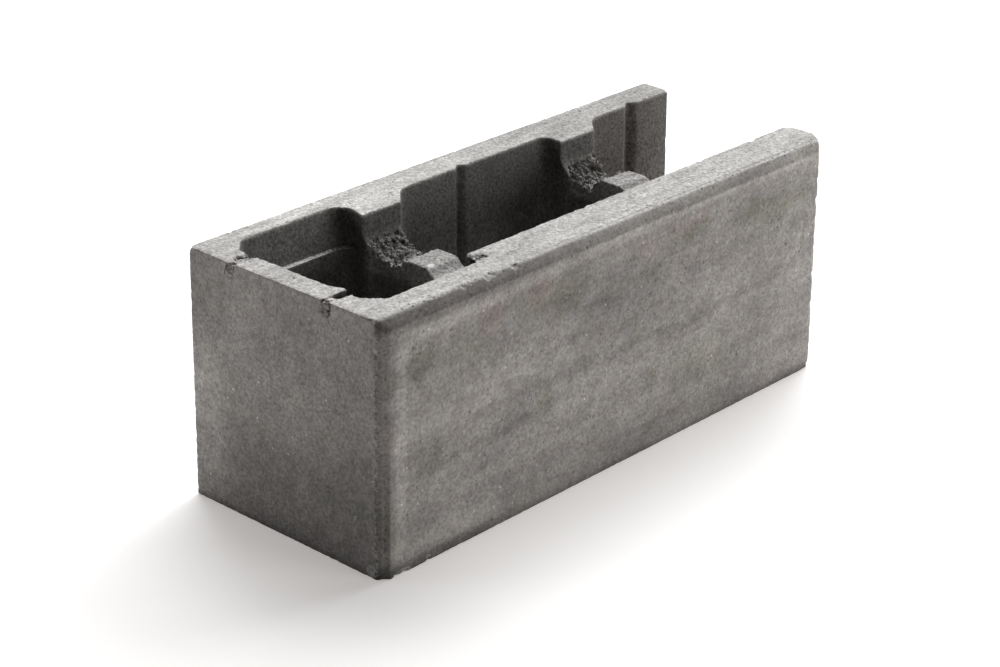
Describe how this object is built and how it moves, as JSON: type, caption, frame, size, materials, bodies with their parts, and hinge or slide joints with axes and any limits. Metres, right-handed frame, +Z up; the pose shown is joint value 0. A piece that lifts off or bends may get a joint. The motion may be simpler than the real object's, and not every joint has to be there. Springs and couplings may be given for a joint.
{
  "type": "concrete formwork block",
  "caption": "Hollow concrete formwork block, closed at one end, with a bevelled face wall, lowered cross webs with bar seats and inside splitting grooves, for dry-laid filled walls.",
  "frame": {"origin": "middle of the base, on the floor", "axes": "+X along the block from the closed end to the open end, +Y from the bevelled face to the back, +Z up"},
  "size_m": [0.5, 0.19, 0.195],
  "materials": {
    "concrete": "pressed concrete, dry and fine-grained, with pits and crumbly web tops"
  },
  "bodies": {
    "root": {"formwork_block": "concrete"}
  },
  "joints": []
}
